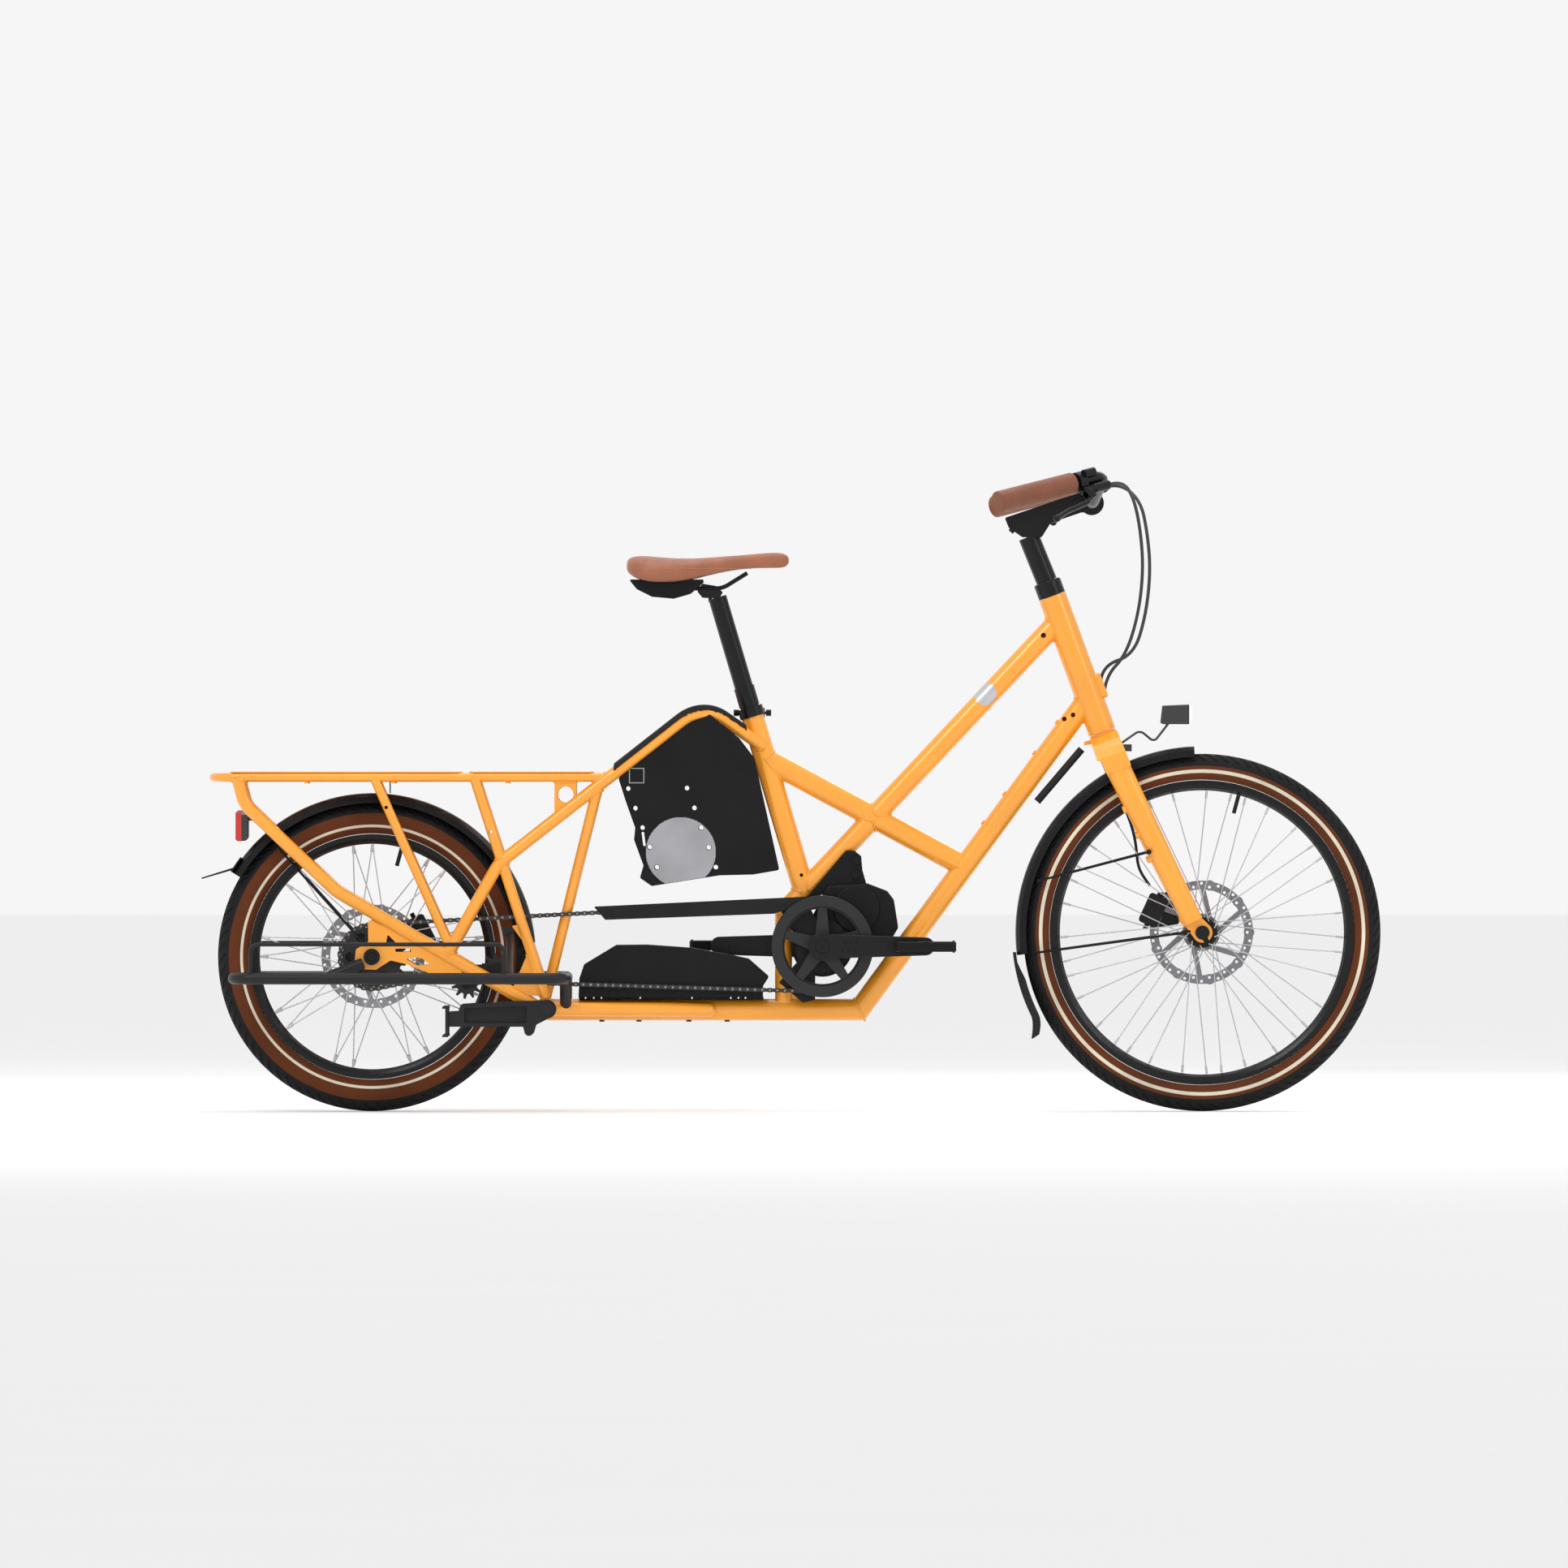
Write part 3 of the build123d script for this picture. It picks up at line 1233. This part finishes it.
def lever_solid(side):
    _, way, _ = grip_way(side)
    reach, axis = control_directions(side)
    pivot = lever_pivot(side)
    points = [
        pivot - way * 2,
        pivot + way * 18 + reach * 12,
        pivot + way * 62 + reach * 18,
        pivot + way * 92 + reach * 27,
    ]
    path = FilletPolyline(*points, radius=[18, 40])
    start = Plane(origin=path @ 0, x_dir=axis, z_dir=path % 0)
    blade = sweep(start * Ellipse(5.0, 4.2), path=path)
    ball = Pos(points[-1]) * Sphere(6.3)
    eye = rod(pivot - axis * 5.2, pivot + axis * 5.2, 13)
    lever = blade + ball + eye
    return biggest(lever - rod(pivot - axis * 9, pivot + axis * 9, 5.2))


def hose_routes():
    """Both brake hoses, from the lever bodies round in front of the head tube to its port."""
    routes = []
    for side, forward, entry in ((-1, 0.0, -9.0), (1, 14.0, 9.0)):
        inner, way, _ = grip_way(side)
        reach, _ = control_directions(side)
        tail = inner - way * 15 + reach * 20 - way * 54.6
        leave = tail - way * 26
        port = at(along(HEAD_TOP, HEAD_BOTTOM, 171)) + HEAD_FORWARD * 28.6
        port = port + HEAD_WAY * -entry + Vector(0, side * 5.5, 0)
        up = HEAD_WAY * -1
        points = [
            tail,
            leave,
            Vector(580.7 + forward, side * 108, 1040),
            Vector(592.0 + forward, side * 84, 985),
            Vector(597.0 + forward, side * 60, 920),
            Vector(589.0 + forward, side * 40, 845),
            Vector(568.0 + forward, side * 22, 776),
            port + HEAD_FORWARD * 12 + up * 22,
            port,
        ]
        routes.append(points)
    return routes


def flowing_radii(points):
    """For each corner, the largest arc that its two runs leave room for."""
    vectors = [Vector(p) for p in points]
    radii = []
    for a, b, c in zip(vectors, vectors[1:], vectors[2:]):
        turn = radians((b - a).get_angle(c - b))
        shorter = min((b - a).length, (c - b).length)
        radii.append(0.45 * shorter / tan(turn / 2))
    return radii


def make_hoses():
    hoses = []
    for points in hose_routes():
        radii = flowing_radii(points)
        print("hose radii", [round(r) for r in radii])
        hoses.append(pipe(points, radii, HOSE_DIAMETER))
    node("brake_hoses", hoses)


# ---- mudguards and lights -------------------------------------------------
def guard_arc(centre, radius, half_width, skirt, first, last, thickness=1.8):
    """A mudguard: an arched strip swept round the axle between two angles."""
    inner = radius - thickness
    profile = (
        (radius, 0),
        (radius - 1.5, half_width * 0.6),
        (radius - 7, half_width * 0.92),
        (radius - skirt, half_width),
        (radius - skirt, half_width - thickness),
        (radius - 7.5, half_width * 0.92 - thickness),
        (inner - 1.5, half_width * 0.58),
        (inner, 0),
    )
    mirrored = [(r, -y) for r, y in reversed(profile[1:-1])]
    face = make_face(Polyline(*profile, *mirrored, close=True))
    arc = revolve(face, axis=Axis.Y, revolution_arc=last - first)
    arc = arc.rotate(Axis.Y, -last)
    return Pos(centre[0], 0, centre[1]) * arc


def make_mudguards():
    front = guard_arc(FRONT_AXLE, 317, 31, 18, 92.4, 187)
    flap_face = Pos(319.5, 0) * Rectangle(3, 72)
    flap = revolve(flap_face, axis=Axis.Y, revolution_arc=23.0)
    flap = Pos(FRONT_AXLE[0], 0, FRONT_AXLE[1]) * flap.rotate(Axis.Y, -209)
    toe = polar(FRONT_AXLE, 319.5, 209)
    lip = rod((toe[0] + 1, 0, toe[1] + 4), (toe[0] - 9, 0, toe[1] - 17), 4)
    lip = box_between((-11, -36, -1.5), (11, 36, 1.5)).rotate(Axis.Y, 60)
    lip = Pos(toe[0] - 4, 0, toe[1] - 9) * lip
    flap = flap + lip
    stays = []
    for side in (-1, 1):
        for start, end in (((420, 391.9), (606, 441)), ((411, 269.1), (668, 304))):
            outer_y = BLADE_Y + 16
            stay = rod(at(start, side * 33), at(end, side * outer_y), 4)
            stay += Pos(at(end, side * outer_y)) * Sphere(4.5)
            stay += Pos(at(start, side * 33)) * Sphere(4)
            stays.append(stay)
    node("front_mudguard", front, biggest(cut(flap, front)), [biggest(cut(s, front)) for s in stays])

    rear = guard_arc(REAR_AXLE, 278, 35, 17, 5, 149)
    tab_face = Pos(279.5, 0) * Rectangle(3, 60)
    tab = revolve(tab_face, axis=Axis.Y, revolution_arc=6)
    tab = Pos(REAR_AXLE[0], 0, REAR_AXLE[1]) * tab.rotate(Axis.Y, -149)
    flap = plate(
        ((-936, 414.6), (-1003, 395.0), (-1003, 397.4), (-936, 418.6), (-912, 424), (-912, 421)),
        -29,
        29,
    )
    hanger = box_between((-684, -8, 541.0), (-682, 8, RACK_HEIGHT - 6))
    stays = []
    for side in (-1, 1):
        stay = rod((-873.5, side * 36, 449), (-725, side * 76.4, 284), 4)
        stays.append(stay)
    pieces = [biggest(cut(flap, rear, tab)), biggest(cut(tab, rear)), biggest(cut(hanger, rear))]
    bar = rod((-676.0, -RACK_HALF_WIDTH, RACK_HEIGHT), (-676.0, RACK_HALF_WIDTH, RACK_HEIGHT), 12)
    pieces[-1] = biggest(cut(pieces[-1], bar))
    node("rear_mudguard", rear, pieces, [biggest(cut(s, rear)) for s in stays])


def make_lights():
    lens_side = (
        (626.5, 660),
        (630, 690),
        (676, 692),
        (681.7, 686),
        (681.7, 664),
        (676, 658),
        (632, 658),
    )
    lamp = plate(lens_side, -19, 19, 2)
    lamp = fillet(lamp.faces().filter_by(Axis.Y).edges(), 3)
    fin_box = box_between((625, -13, 663), (634, 13, 689))
    for low in (-11, 9):
        fin_box -= box_between((625, low, 663), (634, low + 2, 689))
    lamp -= fin_box
    wire = []
    for y in (-9.0, 9.0):
        points = [(559.0, y, 625.0), (592, y, 648), (616, y, 628), (644, y, 664)]
        wire.append(pipe(points, [12, 8], 4))
    clip = box_between((556, -13, 612), (578, 13, 624))
    clip = biggest(cut(clip, *wire, fork_shape()))
    wires = [biggest(cut(w, lamp, clip, fork_shape())) for w in wire]
    node("headlight", biggest(lamp), wires, clip)
    case_side = (
        (-945.7, 462),
        (-945.7, 508),
        (-941, 512),
        (-927, 511),
        (-922.8, 500),
        (-922.8, 466),
        (-928, 460),
        (-942, 459),
    )
    case = plate(case_side, -30, 30, 3)
    case = fillet(case.faces().filter_by(Axis.Y).edges(), 3)
    bridge = rod((-906, -RACK_HALF_WIDTH, 498), (-906, RACK_HALF_WIDTH, 498), 10)
    stay_outers = [pipe(stay_points(s), [48, 90], STAY_DIAMETER) for s in (-1, 1)]
    bridge = biggest(cut(bridge, *stay_outers))
    arm = box_between((-923, -8, 494), (-906, 8, 502))
    node("rear_light", case, bridge, biggest(cut(arm, bridge, case)))


def fork_shape():
    return Compound(NODES["fork"])


def make_caliper(centre, angle, reach, y, outboard_half):
    """A two-piston caliper that straddles the rotor's rim, with its two pads."""
    inboard_half = 13.5
    wide = inboard_half + outboard_half
    block = Pos(reach, (outboard_half - inboard_half) / 2, 0) * Box(34, wide, 54)
    block = fillet(block.edges().filter_by(Axis.Y), 6)
    cap = rod((0, outboard_half - 1, 0), (0, outboard_half + 2, 0), 26)
    block += Pos(reach, 0, 0) * cap
    block -= Pos(reach - 8, 0, 0) * Box(34.5, 4.6, 60)
    block -= Pos(reach, 0, 0) * Box(20, 9, 30)
    fitting = Pos(reach, outboard_half / 2, 27) * Cylinder(4, 16)
    block += fitting
    pads = []
    for s in (-1, 1):
        pads.append(Pos(reach - 3, s * 2.75, 0) * Box(16, 3.0, 26))
    solids = []
    for piece in (biggest(block), *pads):
        turn = piece.rotate(Axis.Y, -angle)
        solids.append(Pos(centre[0], y, centre[1]) * turn)
    return solids


def make_calipers():
    front = make_caliper(FRONT_AXLE, 155.4, 90, FRONT_ROTOR_Y, 12)
    bracket = plate(((622, 312), (660, 318), (648, 372), (622, 372)), 46, 52, 3)
    bracket = biggest(cut(bracket, fork_shape(), *front))
    pieces = [front[0], bracket, *front[1:]]
    hose_points = [
        polar_point(FRONT_AXLE, 118, 138, FRONT_ROTOR_Y + 8),
        (590, 48, 412),
        (584, 46, 470),
        (560, 44, 536),
    ]
    hose = pipe(hose_points, flowing_radii(hose_points), 5)
    hose = biggest(cut(hose, fork_shape(), *pieces))
    node("front_caliper", pieces, hose)
    rear = make_caliper(REAR_AXLE, 27.5, 92, REAR_ROTOR_Y, 7.5)
    carrier = plate(((-655, 262), (-618, 262), (-612, 292), (-640, 300)), 61, 67.9, 3)
    carrier = biggest(cut(carrier, Compound(NODES["rear_stays"]), *rear))
    node("rear_caliper", rear[0], carrier, rear[1:])


def polar_point(centre, radius, angle, y):
    x, z = polar(centre, radius, angle)
    return (x, y, z)


def make_rear_axle():
    axle = disc(REAR_AXLE, 6, -86, 86)
    nuts = []
    for low, high in ((-86.0, -74.0), (74.0, 86.0)):
        nut = disc(REAR_AXLE, 14, low, high)
        recess = disc(REAR_AXLE, 9, *((-90, -82) if low < 0 else (82, 90)))
        nuts.append(nut - recess - disc(REAR_AXLE, 6, -100, 100))
    spacers = []
    for low, high in ((-67.9, -58.4), (62.2, 67.9)):
        spacers.append(disc(REAR_AXLE, 13, low, high) - disc(REAR_AXLE, 6, -100, 100))
    node("rear_axle", axle, nuts, spacers)


# ---- foot rests, stand and seat -------------------------------------------
FOOT_REST_Z = 227.0
FOOT_REST_Y = 210.0


def make_foot_rests():
    pieces = []
    for side in (-1, 1):
        points = [
            (-384, side * 70, 182),
            (-384, side * 118, FOOT_REST_Z),
            (-384, side * FOOT_REST_Y, FOOT_REST_Z),
            (-945, side * FOOT_REST_Y, FOOT_REST_Z),
            (-945, side * 104, FOOT_REST_Z),
            (-790, side * 92, FOOT_REST_Z),
            (-728, side * 82, 252),
        ]
        tube = pipe(points, [24, 34, 34, 30, 20], 19.5)
        rail = rail_outers()[0 if side < 0 else 1]
        blade_low, blade_high = sorted((side * 60.0, side * 74.2))
        tube = cut(tube, rail, disc(REAR_AXLE, 40, blade_low, blade_high))
        tube = biggest(tube - disc(REAR_AXLE, 14.3, -100, 100))
        pieces.append(tube)
        top = FOOT_REST_Z + 58
        guard_points = [
            (-916, side * FOOT_REST_Y, FOOT_REST_Z),
            (-916, side * FOOT_REST_Y, top),
            (-487, side * FOOT_REST_Y, top),
            (-487, side * FOOT_REST_Y, FOOT_REST_Z),
        ]
        guard = pipe(guard_points, [14, 14], 7)
        guard = biggest(cut(guard, tube))
        pieces.append(guard)
        low, high = sorted((side * 73.2, side * 84.0))
        knob = disc((-482, 305), 9, low, high)
        brace = rod((-478, side * 79, 300), (-478, side * 204, 232), 13)
        brace = biggest(cut(brace, tube, knob, guard))
        pieces += [knob, brace]
    node("foot_rests", pieces)


def make_stand():
    legs = []
    for side in (-1, 1):
        low, high = sorted((side * 83.6, side * 97.0))
        head = disc(STAND_PIVOT, 16, low, high)
        x = STAND_PIVOT[0]
        outline_points = (
            (x, 189.6),
            (-470, 188),
            (-562, 182),
            (-566, 170),
            (-584, 169),
            (-584, 144.5),
            (-440, 144.5),
            (-404, 163),
        )
        leg = plate(outline_points, low, high, 3)
        inner_low, inner_high = sorted((side * 86.5, side * 120.0))
        channel = plate(
            ((-450, 180), (-556, 176), (-556, 151), (-450, 151)), inner_low, inner_high, 4
        )
        leg = leg - channel + head
        foot = box_between((-588, min(side * 78, side * 104), 128), (-583.5, max(side * 78, side * 104), 177))
        curl_top = Pos(-588, side * 91, 177) * Box(10, 26, 4)
        curl_low = Pos(-588, side * 91, 129) * Box(10, 26, 4)
        peg = disc((-446, 137), 8, low, high)
        peg_web = plate(((-454, 137), (-438, 137), (-434, 150), (-458, 150)), low, high)
        leg = leg + foot + curl_top + curl_low + peg + peg_web
        leg -= disc(STAND_PIVOT, 7.9, -200, 200)
        legs.append(biggest(leg))
    axle = disc(STAND_PIVOT, 7.9, -101, 101)
    caps = [disc(STAND_PIVOT, 11, low, low + 4) for low in (-101.0, 97.0)]
    caps = [c - disc(STAND_PIVOT, 7.9, -120, 120) for c in caps]
    node("stand_legs", legs, axle, caps)


def seat_axis(distance):
    """A point on the seat tube's axis, a distance above its top."""
    top, low = SEAT_LINE
    return along(top, low, -distance)


def saddle_rail(y):
    points = [(-232, y, 900), (-205, y, 889), (-118, y, 889), (-76, y * 0.7, 915)]
    return pipe(points, [20, 40], 7)


def make_seat():
    post = rod(at(seat_axis(-170)), at(seat_axis(196)), SEATPOST_DIAMETER, 26)
    head_side = ((-161, 884), (-152, 873), (-124, 872), (-117, 882), (-128, 893), (-152, 897))
    head = plate(head_side, -24, 24, 3)
    head = biggest(cut(head, rod(at(seat_axis(-170)), at(seat_axis(196)), SEATPOST_DIAMETER)))
    rails = [saddle_rail(y) for y in (-22.0, 22.0)]
    head = biggest(cut(head, *rails))
    clamp_bolt = rod((-139, 0, 866), (-139, 0, 876), 6)
    node("seatpost", post, biggest(head), biggest(cut(clamp_bolt, head, post)))

    base_side = (
        (-264, 888),
        (-238, 875),
        (-201, 871.7),
        (-172, 880),
        (-150, 899),
        (-150, 904),
        (-277, 904),
    )
    base = plate(base_side, -46, 46, 2)
    base -= box_between((-262, -34, 860), (-140, 34, 896))
    base = biggest(cut(base, *rails))
    node("saddle_base", base, rails)

    outline_points = [
        (-281.5, 0),
        (-278, 42),
        (-262, 76),
        (-232, 84),
        (-190, 70),
        (-150, 42),
        (-110, 28),
        (-40, 23),
        (-14, 19),
        (-4, 0),
    ]
    upper = Spline(*outline_points)
    lower = Spline(*[(x, -y) for x, y in outline_points])
    plan = extrude(Pos(0, 0, 890) * make_face([*upper.edges(), *lower.edges()]), 80)
    side_points = (
        (-281.5, 928),
        (-276, 904),
        (-148, 906),
        (-78, 921),
        (-6, 921),
        (-4, 940),
        (-12, 951),
        (-60, 948),
        (-150, 941),
        (-250, 944),
        (-272, 943),
    )
    side = plate(side_points, -100, 100, 4)
    cover = plan & side
    cover -= box_between((-268, -34, 890), (-152, 34, 925))
    cover = biggest(cut(biggest(cover), base, *rails))
    node("saddle_cover", cover)


def make_small_parts():
    sleeve = rod(at(seat_axis(2.5)), at(seat_axis(37)), 35, SEATPOST_DIAMETER + 2 * FIT)
    collar_low, collar_high = seat_axis(-16), seat_axis(1.0)
    collar = rod(at(collar_low), at(collar_high), 43, SEAT_TUBE_DIAMETER)
    lug = box_between((-58, 18, 669), (-46, 33, 686))
    lug = biggest(cut(lug, rod(at(collar_low), at(collar_high), 43)))
    bolt = rod((-97, 27, 677.6), (-36, 27, 677.6), 5)
    heads = [rod((-99, 27, 677.6), (-90, 27, 677.6), 11), rod((-44, 27, 677.6), (-35, 27, 677.6), 11)]
    bolt = bolt + heads
    lug = biggest(cut(lug, bolt))
    node("seat_clamp", sleeve, collar, lug, biggest(bolt))
    way = (Vector(499, 0, 622.8) - Vector(416.5, 0, 525.8)).normalized()
    start = Vector(416.5, 0, 525.8)
    node("damper_spring", rod(start + way, start + way * 118, 13))


def write_parts():
    os.makedirs("parts", exist_ok=True)
    for name, solids in NODES.items():
        shape = solids[0] if len(solids) == 1 else Compound(solids)
        export_step(shape, f"parts/{name}.step")
        print(name, len(solids))


make_head_tube()
make_main_tubes()
make_bottom()
make_loops_and_stays()
make_deck()
make_motor()
make_battery()
make_panels()
make_pads()
make_chain()
make_drive()
make_tensioner()
make_chain_guard()
make_tyre("front_tyre", FRONT_AXLE, FRONT_TYRE_RADIUS, FRONT_TYRE_WIDTH, 253.5)
make_tyre("rear_tyre", REAR_AXLE, REAR_TYRE_RADIUS, REAR_TYRE_WIDTH, 203.0)
make_rim("front_rim", FRONT_AXLE, 241.5, 253.5)
make_rim("rear_rim", REAR_AXLE, 191.5, 203.0)
make_spokes("front_spokes", FRONT_AXLE, 241.5, 22.0, 26.0, 42.0)
make_spokes("rear_spokes", REAR_AXLE, 191.5, 46.0, 24.0, 30.0)
make_hub("front_hub", FRONT_AXLE, 44.0, 15.0, 22.0, 26.0)
make_hub("rear_hub", REAR_AXLE, 48.0, 40.0, 46.0, 24.0)
make_rotor("front_rotor", FRONT_AXLE, FRONT_ROTOR_Y, 22.0)
make_rotor("rear_rotor", REAR_AXLE, REAR_ROTOR_Y, 30.0)
make_fork()
make_stem()
make_controls()
make_hoses()
make_mudguards()
make_lights()
make_calipers()
make_rear_axle()
make_foot_rests()
make_stand()
make_seat()
make_small_parts()
write_parts()
